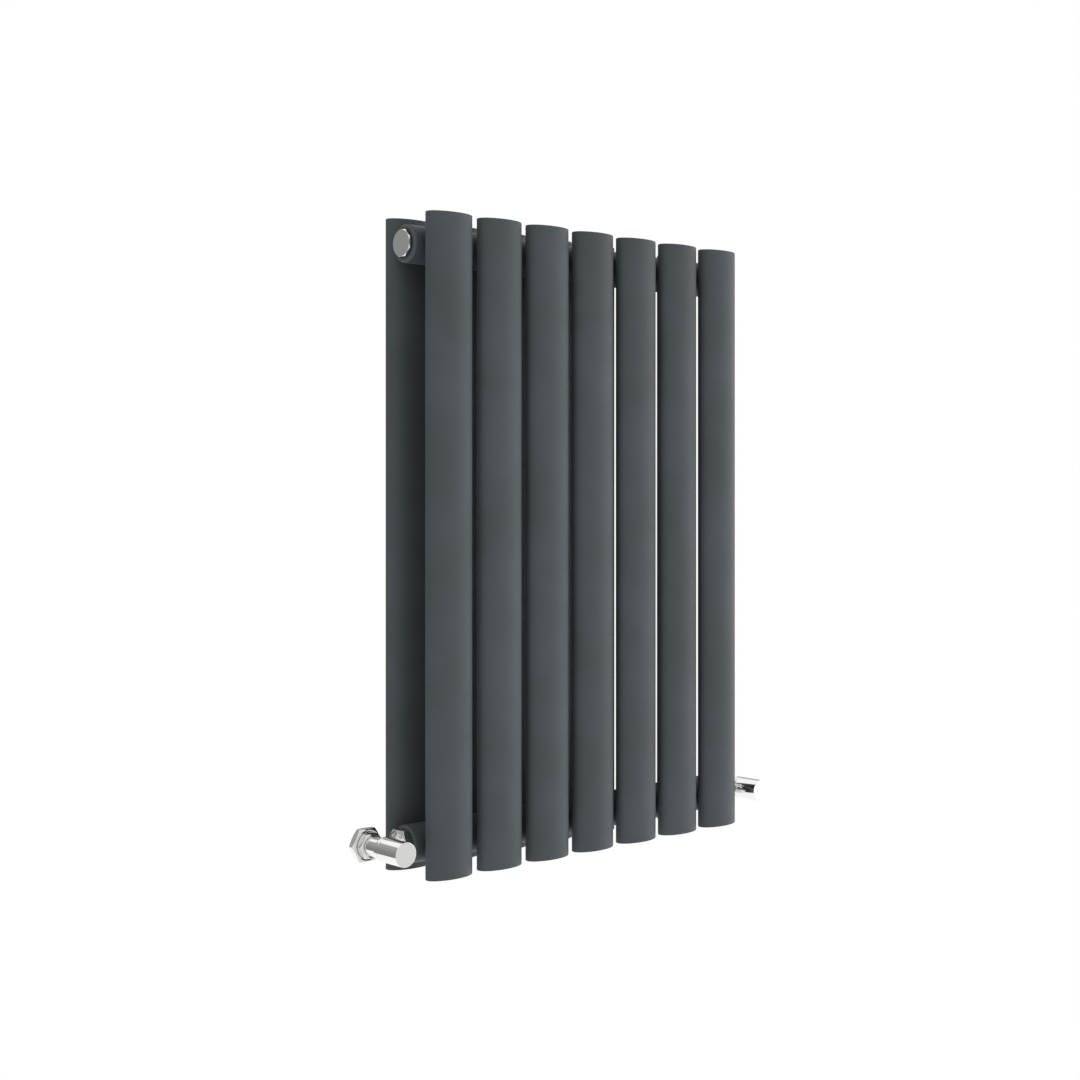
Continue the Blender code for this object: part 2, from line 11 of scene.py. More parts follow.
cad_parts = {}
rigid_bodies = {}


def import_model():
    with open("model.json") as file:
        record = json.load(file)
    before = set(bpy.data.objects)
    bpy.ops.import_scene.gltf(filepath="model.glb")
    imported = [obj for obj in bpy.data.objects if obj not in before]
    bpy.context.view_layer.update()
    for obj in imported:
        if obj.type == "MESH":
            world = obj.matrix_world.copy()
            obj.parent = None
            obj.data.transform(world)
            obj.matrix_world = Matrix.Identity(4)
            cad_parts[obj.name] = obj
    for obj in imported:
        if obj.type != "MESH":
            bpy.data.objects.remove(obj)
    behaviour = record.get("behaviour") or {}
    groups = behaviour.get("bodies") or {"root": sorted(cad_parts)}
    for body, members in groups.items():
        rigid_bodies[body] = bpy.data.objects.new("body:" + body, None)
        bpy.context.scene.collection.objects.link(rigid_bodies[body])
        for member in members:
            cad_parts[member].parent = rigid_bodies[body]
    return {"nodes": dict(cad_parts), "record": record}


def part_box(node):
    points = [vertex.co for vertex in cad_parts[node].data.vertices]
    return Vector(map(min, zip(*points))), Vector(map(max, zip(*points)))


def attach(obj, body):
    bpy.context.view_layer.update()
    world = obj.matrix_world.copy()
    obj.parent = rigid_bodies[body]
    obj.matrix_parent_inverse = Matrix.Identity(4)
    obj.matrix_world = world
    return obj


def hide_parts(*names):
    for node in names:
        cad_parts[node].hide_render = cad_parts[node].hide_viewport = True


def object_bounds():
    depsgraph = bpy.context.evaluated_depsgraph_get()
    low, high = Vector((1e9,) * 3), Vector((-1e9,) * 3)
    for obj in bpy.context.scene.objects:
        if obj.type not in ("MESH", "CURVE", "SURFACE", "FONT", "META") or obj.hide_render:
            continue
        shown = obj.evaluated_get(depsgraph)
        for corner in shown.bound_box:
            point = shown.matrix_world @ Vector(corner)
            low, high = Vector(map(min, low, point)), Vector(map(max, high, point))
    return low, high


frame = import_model()
cadLow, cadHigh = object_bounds()
print("frame loaded:", len(frame["nodes"]), "nodes")

axisTurns = {
    "X": Matrix.Rotation(math.pi / 2, 4, "Y"),
    "Y": Matrix.Rotation(-math.pi / 2, 4, "X"),
    "Z": Matrix.Identity(4),
}
tiny = 1e-6


# Small tools for nodes


def linearFromHex(code):
    channels = [int(code[i : i + 2], 16) / 255 for i in (1, 3, 5)]
    return [c / 12.92 if c <= 0.04045 else ((c + 0.055) / 1.055) ** 2.4 for c in channels] + [1]


def addNode(tree, kind, settings=None, links=None):
    node = tree.nodes.new(kind)
    for name, value in (settings or {}).items():
        if isinstance(name, int) or name in node.inputs:
            node.inputs[name].default_value = value
        else:
            setattr(node, name, value)
    for name, source in (links or {}).items():
        tree.links.new(source, node.inputs[name])
    return node


def startMaterial(name, settings):
    material = bpy.data.materials.new(name)
    material.use_nodes = True
    tree = material.node_tree
    tree.nodes.clear()
    shader = addNode(tree, "ShaderNodeBsdfPrincipled", settings)
    addNode(tree, "ShaderNodeOutputMaterial", links={"Surface": shader.outputs["BSDF"]})
    coords = addNode(tree, "ShaderNodeTexCoord")
    return material, tree, shader, coords.outputs["Object"]


def grainNoise(tree, where, size, detail=2.0):
    # size is the width of one bump or patch, in metres
    settings = {"Scale": 1 / size, "Detail": detail, "Roughness": 0.5}
    return addNode(tree, "ShaderNodeTexNoise", settings, {"Vector": where}).outputs["Fac"]


def spreadRoughness(tree, shader, source, low, high):
    settings = {"From Min": 0.3, "From Max": 0.7, "To Min": low, "To Max": high}
    spread = addNode(tree, "ShaderNodeMapRange", settings, {"Value": source})
    tree.links.new(spread.outputs["Result"], shader.inputs["Roughness"])


def spreadColour(tree, shader, source, dark, light):
    settings = {"data_type": "RGBA"}
    mix = addNode(tree, "ShaderNodeMix", settings)
    mix.inputs[6].default_value = linearFromHex(dark)
    mix.inputs[7].default_value = linearFromHex(light)
    stretch = {"From Min": 0.35, "From Max": 0.65}
    even = addNode(tree, "ShaderNodeMapRange", stretch, {"Value": source})
    tree.links.new(even.outputs["Result"], mix.inputs[0])
    tree.links.new(mix.outputs[2], shader.inputs["Base Color"])


def addBump(tree, shader, source, height, strength=1.0, under=None):
    links = {"Height": source}
    if under:
        links["Normal"] = under
    bump = addNode(tree, "ShaderNodeBump", {"Distance": height, "Strength": strength}, links)
    tree.links.new(bump.outputs["Normal"], shader.inputs["Normal"])
    return bump.outputs["Normal"]


# Materials


def makePowderCoat():
    # Polyester powder, sprayed and baked on steel tube: satin, with a soft orange peel and a
    # film that is a little thicker in places, which shows as faint clouds.
    coat = {
        "dark": "#42484C",
        "light": "#484F54",
        "peel": 0.0026,  # real peel is 1 to 2 mm, drawn coarser so that it shows
        "peelHeight": 0.000035,
        "grit": 0.0005,
        "gritHeight": 0.000004,
        "cloud": 0.07,
    }
    settings = {"IOR": 1.5, "Specular IOR Level": 0.3}
    material, tree, shader, where = startMaterial("polyesterPowderCoat", settings)
    spreadColour(tree, shader, grainNoise(tree, where, coat["cloud"]), coat["dark"], coat["light"])
    peel = grainNoise(tree, where, coat["peel"], 1.0)
    spreadRoughness(tree, shader, peel, 0.5, 0.6)
    grit = grainNoise(tree, where, coat["grit"])
    normal = addBump(tree, shader, grit, coat["gritHeight"])
    addBump(tree, shader, peel, coat["peelHeight"], 1.0, normal)
    return material


def makeChrome():
    # Decorative chrome, electroplated on polished forged brass: a near mirror, a trace warm,
    # with faint polishing smears and the long waves of a buffed forging.
    chrome = {"colour": "#E5E5E4", "smear": 0.011, "wave": 0.006, "waveHeight": 0.000004}
    settings = {"Base Color": linearFromHex(chrome["colour"]), "Metallic": 1.0}
    material, tree, shader, where = startMaterial("buffedChromePlate", settings)
    spreadRoughness(tree, shader, grainNoise(tree, where, chrome["smear"], 4.0), 0.03, 0.07)
    addBump(tree, shader, grainNoise(tree, where, chrome["wave"], 1.0), chrome["waveHeight"])
    return material


def makeBrass():
    # Free-machining brass straight off the lathe: satin, with fine tool marks and a dull tint
    # where it has been handled.
    brass = {
        "dark": "#A98748",
        "light": "#CBA866",
        "tint": 0.004,
        "tool": 0.0003,
        "toolHeight": 0.000006,
    }
    material, tree, shader, where = startMaterial("machinedBrass", {"Metallic": 1.0})
    tint = grainNoise(tree, where, brass["tint"])
    spreadColour(tree, shader, tint, brass["dark"], brass["light"])
    tool = grainNoise(tree, where, brass["tool"], 2.0)
    spreadRoughness(tree, shader, tool, 0.22, 0.36)
    addBump(tree, shader, tool, brass["toolHeight"])
    return material


def makeRubber():
    # Nitrile rubber, moulded: matt black with a fine bloom on its skin.
    rubber = {
        "dark": "#121212",
        "light": "#1E1E1F",
        "bloom": 0.002,
        "skin": 0.0003,
        "skinHeight": 0.00001,
    }
    material, tree, shader, where = startMaterial("nitrileRubber", {"IOR": 1.52})
    bloom = grainNoise(tree, where, rubber["bloom"])
    spreadColour(tree, shader, bloom, rubber["dark"], rubber["light"])
    skin = grainNoise(tree, where, rubber["skin"])
    spreadRoughness(tree, shader, skin, 0.55, 0.75)
    addBump(tree, shader, skin, rubber["skinHeight"])
    return material


def makePlastic():
    # Glass-filled nylon, injection moulded in a spark-eroded tool: mid grey, fine even texture.
    plastic = {
        "dark": "#515254",
        "light": "#5A5B5D",
        "flow": 0.008,
        "texture": 0.0004,
        "textureHeight": 0.000015,
    }
    material, tree, shader, where = startMaterial("mouldedNylon", {"IOR": 1.53})
    flow = grainNoise(tree, where, plastic["flow"])
    spreadColour(tree, shader, flow, plastic["dark"], plastic["light"])
    texture = grainNoise(tree, where, plastic["texture"])
    spreadRoughness(tree, shader, texture, 0.42, 0.56)
    addBump(tree, shader, texture, plastic["textureHeight"])
    return material


finishes = {
    "anthracite_steel": (makePowderCoat(), "coated"),
    "chrome": (makeChrome(), "plated"),
    "brass": (makeBrass(), "turned"),
    "rubber": (makeRubber(), "seal"),
    "grey_plastic": (makePlastic(), "moulded"),
}
slotOfNode = {part["node"]: part["material_slot"] for part in frame["record"]["subparts"]}
bodyOfNode = {
    node: body
    for body, nodes in frame["record"]["behaviour"]["bodies"].items()
    for node in nodes
}
print("materials made:", len(finishes))


# Small tools for shapes


def turnFacesOut(bm):
    bmesh.ops.remove_doubles(bm, verts=bm.verts, dist=tiny)
    bmesh.ops.recalc_face_normals(bm, faces=bm.faces)
    if bm.calc_volume(signed=True) < 0:
        bmesh.ops.reverse_faces(bm, faces=bm.faces)


def easeEdges(bm, width, segments=2, sharperThan=24):
    limit = math.radians(sharperThan)
    sharp = [e for e in bm.edges if len(e.link_faces) == 2 and e.calc_face_angle() > limit]
    bmesh.ops.bevel(
        bm,
        geom=sharp,
        offset=width,
        offset_type="OFFSET",
        segments=segments,
        profile=0.5,
        affect="EDGES",
        clamp_overlap=True,
        material=-1,
    )


def spunShape(profile, axis, ease=0.0002, segments=72):
    # profile is (radius, distance along the axis), in order round the section
    bm = bmesh.new()
    points = [bm.verts.new((radius, 0, along)) for radius, along in profile]
    for i in range(len(points)):
        if profile[i - 1][0] > 0 or profile[i][0] > 0:
            bm.edges.new((points[i - 1], points[i]))
    bmesh.ops.spin(
        bm,
        geom=bm.verts[:] + bm.edges[:],
        cent=(0, 0, 0),
        axis=(0, 0, 1),
        angle=math.tau,
        steps=segments,
        use_merge=True,
    )
    turnFacesOut(bm)
    if ease:
        easeEdges(bm, ease)
    bm.transform(axisTurns[axis])
    return bm


def placeRing(verts, radius, height):
    # radius and height are numbers, or functions of the angle round the axis
    for vert in verts:
        angle = math.atan2(vert.co.y, vert.co.x)
        reach = radius(angle) if callable(radius) else radius
        rise = height(angle) if callable(height) else height
        vert.co = (reach * math.cos(angle), reach * math.sin(angle), rise)


def barShape(nut, axis):
    # A bar with flat sides and the corners of its ends turned off, solid or with a hole
    flats, start, end, hole = nut["flats"], nut["start"], nut["end"], nut.get("hole", 0)
    turn = nut.get("turn", 0)
    face = flats * nut.get("faceRatio", 0.475)
    slope = math.tan(math.radians(nut.get("chamfer", 30)))
    step = math.tau / nut.get("sides", 6)

    def toSide(angle):
        return flats / 2 / math.cos((angle - turn) % step - step / 2)

    def startEdge(angle):
        return start + max(0, toSide(angle) - face) * slope

    def endEdge(angle):
        return end - max(0, toSide(angle) - face) * slope

    rings = [(face, start), (toSide, startEdge), (toSide, endEdge), (face, end)]
    if hole:
        rings = [(hole, start)] + rings + [(hole, end)]
    bm = bmesh.new()
    segments = 72
    first = bmesh.ops.create_circle(bm, segments=segments, radius=1)["verts"]
    bmesh.ops.rotate(bm, verts=first, cent=(0, 0, 0), matrix=Matrix.Rotation(turn, 3, "Z"))
    placeRing(first, *rings[0])
    loop = bm.edges[:]
    if not hole:
        bmesh.ops.contextual_create(bm, geom=loop)
    for radius, height in rings[1:]:
        grown = bmesh.ops.extrude_edge_only(bm, edges=loop)["geom"]
        verts = [item for item in grown if isinstance(item, bmesh.types.BMVert)]
        edges = [item for item in grown if isinstance(item, bmesh.types.BMEdge)]
        loop = [edge for edge in edges if set(edge.verts) <= set(verts)]
        placeRing(verts, radius, height)
    if hole:
        ends = [e for e in bm.edges if e.is_boundary]
        bmesh.ops.bridge_loops(bm, edges=ends)
    else:
        bmesh.ops.contextual_create(bm, geom=loop)
    turnFacesOut(bm)
    easeEdges(bm, nut.get("ease", 0.00012))
    bm.transform(axisTurns[axis])
    return bm


def meshOf(bm, name):
    mesh = bpy.data.meshes.new(name)
    bm.to_mesh(mesh)
    bm.free()
    return mesh


def joinedShape(base, added=(), removed=()):
    # Booleans on a bench that is cleared afterwards
    bench = bpy.data.collections.new("bench")
    bpy.context.scene.collection.children.link(bench)
    work = bpy.data.objects.new("work", meshOf(base, "work"))
    bench.objects.link(work)
    steps = [(bm, "UNION") for bm in added] + [(bm, "DIFFERENCE") for bm in removed]
    for bm, operation in steps:
        tool = bpy.data.objects.new("tool", meshOf(bm, "tool"))
        bench.objects.link(tool)
        modifier = work.modifiers.new(operation.lower(), "BOOLEAN")
        modifier.operation = operation
        modifier.object = tool
    graph = bpy.context.evaluated_depsgraph_get()
    result = bmesh.new()
    result.from_mesh(work.evaluated_get(graph).to_mesh())
    for obj in list(bench.objects):
        bpy.data.objects.remove(obj, do_unlink=True)
    bpy.data.collections.remove(bench)
    return result


def finishPiece(bm, node, where=None, smoothUnder=32, twin=None):
    # Puts the shape in place, gives it its finish, and lets it stand for its CAD node
    if where:
        bm.transform(where)
    slot = slotOfNode[node]
    material, suffix = finishes[slot]
    name = twin or f"{node}_{suffix}"
    if not bm.faces:
        raise ValueError(f"{name} has no faces")
    mesh = meshOf(bm, name)
    mesh.materials.append(material)
    mesh.shade_smooth()
    mesh.set_sharp_from_angle(angle=math.radians(smoothUnder))
    piece = bpy.data.objects.new(name, mesh)
    bpy.context.scene.collection.objects.link(piece)
    weighted = piece.modifiers.new("weighted", "WEIGHTED_NORMAL")
    weighted.keep_sharp = True
    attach(piece, bodyOfNode[node])
    if not twin:
        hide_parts(node)
    return piece


def middleOf(node):
    low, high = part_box(node)
    return (Vector(low) + Vector(high)) / 2


# Columns


def makeColumn(node):
    # Drawn oval tube with a cap welded flush into each end and ground smooth
    column = {"edge": 0.0008, "seamFromEnd": 0.0019, "seamWidth": 0.0003, "seamDepth": 0.00008}
    low, high = (Vector(corner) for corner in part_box(node))
    size, middle = high - low, (low + high) / 2
    bm = bmesh.new()
    bmesh.ops.create_circle(bm, cap_ends=True, segments=96, radius=0.5)
    bmesh.ops.scale(bm, verts=bm.verts, vec=(size.x, size.y, 1))
    grown = bmesh.ops.extrude_face_region(bm, geom=bm.faces[:])["geom"]
    top = [item for item in grown if isinstance(item, bmesh.types.BMVert)]
    bmesh.ops.translate(bm, verts=top, vec=(0, 0, size.z))
    turnFacesOut(bm)
    easeEdges(bm, column["edge"], 4, 60)
    for seam in (column["seamFromEnd"], size.z - column["seamFromEnd"]):
        for step in (-0.5, 0, 0.5):
            cut = {"plane_co": (0, 0, seam + step * column["seamWidth"]), "plane_no": (0, 0, 1)}
            bmesh.ops.bisect_plane(bm, geom=bm.verts[:] + bm.edges[:] + bm.faces[:], **cut)
        ring = [vert for vert in bm.verts if abs(vert.co.z - seam) < tiny]
        pull = [1 - 2 * column["seamDepth"] / side for side in (size.x, size.y)]
        bmesh.ops.scale(bm, verts=ring, vec=(*pull, 1))
    finishPiece(bm, node, Matrix.Translation((middle.x, middle.y, low.z)), 40)


columnNodes = [f"{row}_column_{i}" for row in ("front", "rear") for i in range(1, 8)]
for node in columnNodes:
    makeColumn(node)
print("columns made:", len(columnNodes))


# Manifolds, their welds and their threaded ends


tube = {"radius": 0.01765, "wall": 0.0015, "ease": 0.0003}


def makeManifold(level):
    node = f"{level}_manifold"
    low, high = (Vector(corner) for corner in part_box(node))
    half = (high.x - low.x) / 2
    inner = tube["radius"] - tube["wall"]
    profile = [(tube["radius"], -half), (tube["radius"], half), (inner, half), (inner, -half)]
    bm = spunShape(profile, "X", tube["ease"], 96)
    finishPiece(bm, node, Matrix.Translation(middleOf(node)))


def makeWelds(level):
    # A bead round the spot where each column sits on the manifold, with the ripple of a hand
    # weld softened by the coat
    bead = {"ring": 0.0072, "thickness": 0.0017, "ripple": 0.00014, "ripples": 22}
    bm = bmesh.new()
    manifold = middleOf(f"{level}_manifold")
    for row in ("front", "rear"):
        for i in range(1, 8):
            column = middleOf(f"{row}_column_{i}")
            touch = Vector((column.x, (column.y + manifold.y) / 2, manifold.z))
            side = 1 if row == "rear" else -1
            touch.y = manifold.y + side * tube["radius"]
            circle = bmesh.ops.create_circle(bm, segments=10, radius=bead["thickness"])["verts"]
            upright = Matrix.Rotation(math.pi / 2, 3, "X")
            bmesh.ops.rotate(bm, verts=circle, cent=(0, 0, 0), matrix=upright)
            bmesh.ops.translate(bm, verts=circle, vec=(bead["ring"], 0, 0))
            edges = list({edge for vert in circle for edge in vert.link_edges})
            before = set(bm.verts) - set(circle)
            bmesh.ops.spin(
                bm,
                geom=circle + edges,
                cent=(0, 0, 0),
                axis=(0, 0, 1),
                angle=math.tau,
                steps=66,
                use_merge=True,
            )
            ring = [vert for vert in bm.verts if vert not in before]
            for vert in ring:
                angle = math.atan2(vert.co.y, vert.co.x)
                centre = Vector((math.cos(angle), math.sin(angle), 0)) * bead["ring"]
                swell = bead["ripple"] * math.sin(bead["ripples"] * angle) / bead["thickness"]
                vert.co = centre + (vert.co - centre) * (1 + swell)
            lay = Matrix.Translation(touch) @ Matrix.Rotation(math.pi / 2, 4, "X")
            bmesh.ops.transform(bm, verts=ring, matrix=lay)
    turnFacesOut(bm)
    finishPiece(bm, f"{level}_manifold", twin=f"{level}_manifold_welds")


def makeBush(level, side):
    # Steel bush, threaded 1/2 inch, welded into the end of the manifold and coated with it
    bush = {
        "bore": 0.0102,
        "lead": 0.0007,
        "face": 0.0156,
        "rim": 0.01735,
        "rimAt": 0.0015,
        "rimStep": 0.0001,
        "length": 0.014,
    }
    node = f"{level}_{side}_bush"
    low, high = (Vector(corner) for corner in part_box(node))
    outward = 1 if side == "right" else -1
    face = high.x if outward > 0 else low.x
    profile = [
        (bush["bore"] + bush["lead"], 0),
        (bush["face"], 0),
        (bush["rim"], -bush["rimAt"]),
        (bush["face"], -bush["rimAt"] - bush["rimStep"]),
        (bush["face"], -bush["length"]),
        (bush["bore"], -bush["length"]),
        (bush["bore"], -bush["lead"]),
    ]
    bm = spunShape(profile, "X", 0.00012, 96)
    centre = middleOf(node)
    place = Matrix.Translation((face, centre.y, centre.z))
    finishPiece(bm, node, place @ Matrix.Rotation(math.pi if outward < 0 else 0, 4, "Y"))


for level in ("top", "bottom"):
    makeManifold(level)
    makeWelds(level)
    for side in ("left", "right"):
        makeBush(level, side)
print("manifolds, welds and bushes made")


# Plugs in the top manifold


def endPlace(side):
    low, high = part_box(f"top_{side}_bush")
    centre = middleOf(f"top_{side}_bush")
    face = high[0] if side == "right" else low[0]
    turn = Matrix.Rotation(math.pi if side == "left" else 0, 4, "Y")
    return Matrix.Translation((face, centre.y, centre.z)) @ turn


def makePlugs():
    # Plugs with an eight-sided head and a turned face, on a rubber washer
    head = {
        "flats": 0.0246,
        "start": 0.001,
        "end": 0.0034,
        "sides": 8,
        "turn": math.pi / 8,
        "faceRatio": 0.496,
        "chamfer": 50,
    }
    shank = {"radius": 0.0099, "start": 0.002, "end": -0.011}
    vent = {
        "well": 0.0052,
        "floor": -0.001,
        "bore": 0.0027,
        "boreEnd": -0.0065,
        "tip": 0.0012,
        "tipEnd": -0.0085,
        "lead": 0.0005,
    }
    face = head["end"]

    def shankShape():
        profile = [
            (0, shank["end"]),
            (shank["radius"], shank["end"]),
            (shank["radius"], shank["start"]),
            (0, shank["start"]),
        ]
        return spunShape(profile, "X", 0.0003)

    blank = joinedShape(barShape(head, "X"), added=[shankShape()])
    finishPiece(blank, "blanking_plug", endPlace("left"))
    hole = [
        (0, vent["tipEnd"]),
        (vent["tip"], vent["tipEnd"]),
        (vent["bore"], vent["boreEnd"]),
        (vent["bore"], vent["floor"]),
        (vent["well"], vent["floor"]),
        (vent["well"], face - vent["lead"]),
        (vent["well"] + vent["lead"], face),
        (vent["well"] + vent["lead"], face + 0.001),
        (0, face + 0.001),
    ]
    vented = joinedShape(
        barShape(head, "X"), added=[shankShape()], removed=[spunShape(hole, "X", 0)]
    )
    finishPiece(vented, "air_vent_plug", endPlace("right"))
    seal = {"inner": 0.0102, "outer": 0.0129, "start": 0.0003, "end": 0.0007}
    for node, side in (("blanking_plug_seal", "left"), ("air_vent_seal", "right")):
        profile = [
            (seal["inner"], seal["start"]),
            (seal["outer"], seal["start"]),
            (seal["outer"], seal["end"]),
            (seal["inner"], seal["end"]),
        ]
        finishPiece(spunShape(profile, "X", 0.0001), node, endPlace(side))


def makeBleedScrew():
    # Brass needle with a square for the vent key
    screw = {
        "tip": 0.0008,
        "tipEnd": -0.0082,
        "shank": 0.0024,
        "shankEnd": -0.0062,
        "collar": 0.0038,
        "collarBack": -0.0007,
        "collarFront": 0.0006,
        "square": 0.0046,
        "squareStart": 0.0003,
        "face": 0.0034,
    }
    profile = [
        (0, screw["tipEnd"]),
        (screw["tip"], screw["tipEnd"]),
        (screw["shank"], screw["shankEnd"]),
        (screw["shank"], screw["collarBack"]),
        (screw["collar"], screw["collarBack"]),
        (screw["collar"], screw["collarFront"]),
        (0, screw["collarFront"]),
    ]
    body = spunShape(profile, "X", 0.00015, 48)
    square = bmesh.new()
    bmesh.ops.create_cube(square, size=1)
    length = screw["face"] - screw["squareStart"]
    bmesh.ops.scale(square, verts=square.verts, vec=(length, screw["square"], screw["square"]))
    middle = screw["squareStart"] + length / 2
    bmesh.ops.translate(square, verts=square.verts, vec=(middle, 0, 0))
    easeEdges(square, 0.0003, 3)
    finishPiece(joinedShape(body, added=[square]), "bleed_screw", endPlace("right"))


makePlugs()
makeBleedScrew()
print("plugs and bleed screw made")


# Valves. Distances run from the point where the two axes cross: the cap is at -Y, the inlet at
# +Y and the outlet at +X.


def valvePlace(side):
    spot = middleOf(f"{side}_compression_nut")
    spot.y = middleOf("bottom_manifold").y
    turn = Matrix.Rotation(math.pi if side == "right" else 0, 4, "Y")
    return Matrix.Translation(spot) @ turn


def bodyShape():
    # Forged brass, machined on its ends, buffed and plated
    body = {
        "radius": 0.0089,
        "front": -0.016,
        "shoulder": 0.0112,
        "shoulderFront": -0.0084,
        "shoulderBack": -0.0042,
        "back": 0.013,
        "bonnetBore": 0.0069,
        "bonnetBoreEnd": -0.0065,
        "chamber": 0.0062,
        "chamberEnd": 0.0066,
        "seat": 0.0044,
        "seatEnd": 0.0082,
        "waterway": 0.0055,
        "outlet": 0.0086,
        "outletNeck": 0.0171,
        "outletEnd": 0.0213,
        "thread": 0.012,
    }
    outside = [
        (0, body["front"]),
        (body["radius"], body["front"]),
        (body["radius"], body["shoulderFront"]),
        (body["shoulder"], body["shoulderFront"]),
        (body["shoulder"], body["shoulderBack"]),
        (body["radius"], body["shoulderBack"]),
        (body["radius"], body["back"]),
        (0, body["back"]),
    ]
    outlet = [
        (0, 0),
        (body["outlet"], 0),
        (body["outlet"], body["outletNeck"]),
        (body["thread"], body["outletNeck"] + 0.0005),
        (body["thread"], body["outletEnd"]),
        (0, body["outletEnd"]),
    ]
    bore = [
        (0, body["front"] - 0.001),
        (body["bonnetBore"], body["front"] - 0.001),
        (body["bonnetBore"], body["bonnetBoreEnd"]),
        (body["chamber"], body["bonnetBoreEnd"]),
        (body["chamber"], body["chamberEnd"]),
        (body["seat"], body["chamberEnd"]),
        (body["seat"], body["seatEnd"]),
        (body["waterway"], body["seatEnd"]),
        (body["waterway"], body["back"] + 0.001),
        (0, body["back"] + 0.001),
    ]
    way = [
        (0, 0),
        (body["waterway"] - 0.0002, 0),
        (body["waterway"] - 0.0002, body["outletEnd"] + 0.001),
        (0, body["outletEnd"] + 0.001),
    ]
    return joinedShape(
        spunShape(outside, "Y", 0.0005, 96),
        added=[spunShape(outlet, "X", 0.0002, 96)],
        removed=[spunShape(bore, "Y", 0), spunShape(way, "X", 0)],
    )


def adaptorShape():
    # Turned from hexagon bar: a spanner hexagon, then the thread under the compression nut
    hexagon = {"flats": 0.022, "start": 0.0133, "end": 0.0196}
    thread = {"radius": 0.012, "start": 0.0186, "end": 0.0236}
    socket = {"pipe": 0.0078, "start": 0.0123, "olive": 0.0097, "oliveStart": 0.021, "end": 0.0246}
    rod = [
        (0, thread["start"]),
        (thread["radius"], thread["start"]),
        (thread["radius"], thread["end"]),
        (0, thread["end"]),
    ]
    hole = [
        (0, socket["start"]),
        (socket["pipe"], socket["start"]),
        (socket["pipe"], socket["oliveStart"]),
        (socket["olive"], socket["oliveStart"]),
        (socket["olive"], socket["end"]),
        (0, socket["end"]),
    ]
    return joinedShape(
        barShape(hexagon, "Y"),
        added=[spunShape(rod, "Y", 0.0002)],
        removed=[spunShape(hole, "Y", 0)],
    )


def nutShape(nut, axis):
    # A plated nut: turned hexagon, bored wide for the thread and narrow for what it holds
    bore = [
        (0, nut["start"] - 0.001),
        (nut["thread"], nut["start"] - 0.001),
        (nut["thread"], nut["shoulder"]),
        (nut["small"], nut["shoulder"]),
        (nut["small"], nut["end"] - 0.0004),
        (nut["small"] + 0.0006, nut["end"] + 0.0002),
        (nut["small"] + 0.0006, nut["end"] + 0.001),
        (0, nut["end"] + 0.001),
    ]
    return joinedShape(barShape(nut, axis), removed=[spunShape(bore, axis, 0)])


def tailShape():
    # The tail that screws into the radiator, with the rounded flange that the union nut pulls
    tail = {
        "bore": 0.0065,
        "flange": 0.0119,
        "start": 0.0216,
        "flangeEnd": 0.0229,
        "neck": 0.0099,
        "end": 0.045,
    }
    profile = [
        (tail["bore"], tail["start"]),
        (tail["flange"], tail["start"]),
        (tail["flange"], tail["flangeEnd"]),
        (tail["neck"], tail["flangeEnd"]),
        (tail["neck"], tail["end"]),
        (tail["bore"], tail["end"]),
    ]
    return spunShape(profile, "X", 0.0002)


def oliveShape():
    # The soft ring that the compression nut squeezes on to the pipe
    olive = {
        "bore": 0.0078,
        "rim": 0.0089,
        "crown": 0.0094,
        "start": 0.0214,
        "crownStart": 0.0223,
        "crownEnd": 0.0233,
        "end": 0.0242,
    }
    profile = [
        (olive["bore"], olive["start"]),
        (olive["rim"], olive["start"]),
        (olive["crown"], olive["crownStart"]),
        (olive["crown"], olive["crownEnd"]),
        (olive["rim"], olive["end"]),
        (olive["bore"], olive["end"]),
    ]
    return spunShape(profile, "Y", 0.00015)


def capShape():
    # A plain drawn cap, its corner just broken, so that it reads as a clean cylinder
    cap = {"radius": 0.0112, "bore": 0.0099, "front": -0.0372, "back": -0.0087, "wall": 0.0022}
    profile = [
        (0, cap["front"]),
        (cap["radius"], cap["front"]),
        (cap["radius"], cap["back"]),
        (cap["bore"], cap["back"]),
        (cap["bore"], cap["front"] + cap["wall"]),
        (0, cap["front"] + cap["wall"]),
    ]
    return spunShape(profile, "Y", 0.0004, 128)


def bonnetShape():
    # The gland that holds the spindle, with a small hexagon
    hexagon = {"flats": 0.013, "start": -0.0195, "end": -0.0163}
    spigot = {"radius": 0.0066, "front": -0.0173, "back": -0.0068}
    bore = {"narrow": 0.0033, "front": -0.021, "wide": 0.0049, "step": -0.0165, "back": -0.0055}
    rod = [
        (0, spigot["front"]),
        (spigot["radius"], spigot["front"]),
        (spigot["radius"], spigot["back"]),
        (0, spigot["back"]),
    ]
    hole = [
        (0, bore["front"]),
        (bore["narrow"], bore["front"]),
        (bore["narrow"], bore["step"]),
        (bore["wide"], bore["step"]),
        (bore["wide"], bore["back"]),
        (0, bore["back"]),
    ]
    return joinedShape(
        barShape(hexagon, "Y"),
        added=[spunShape(rod, "Y", 0.0002)],
        removed=[spunShape(hole, "Y", 0, 48)],
    )


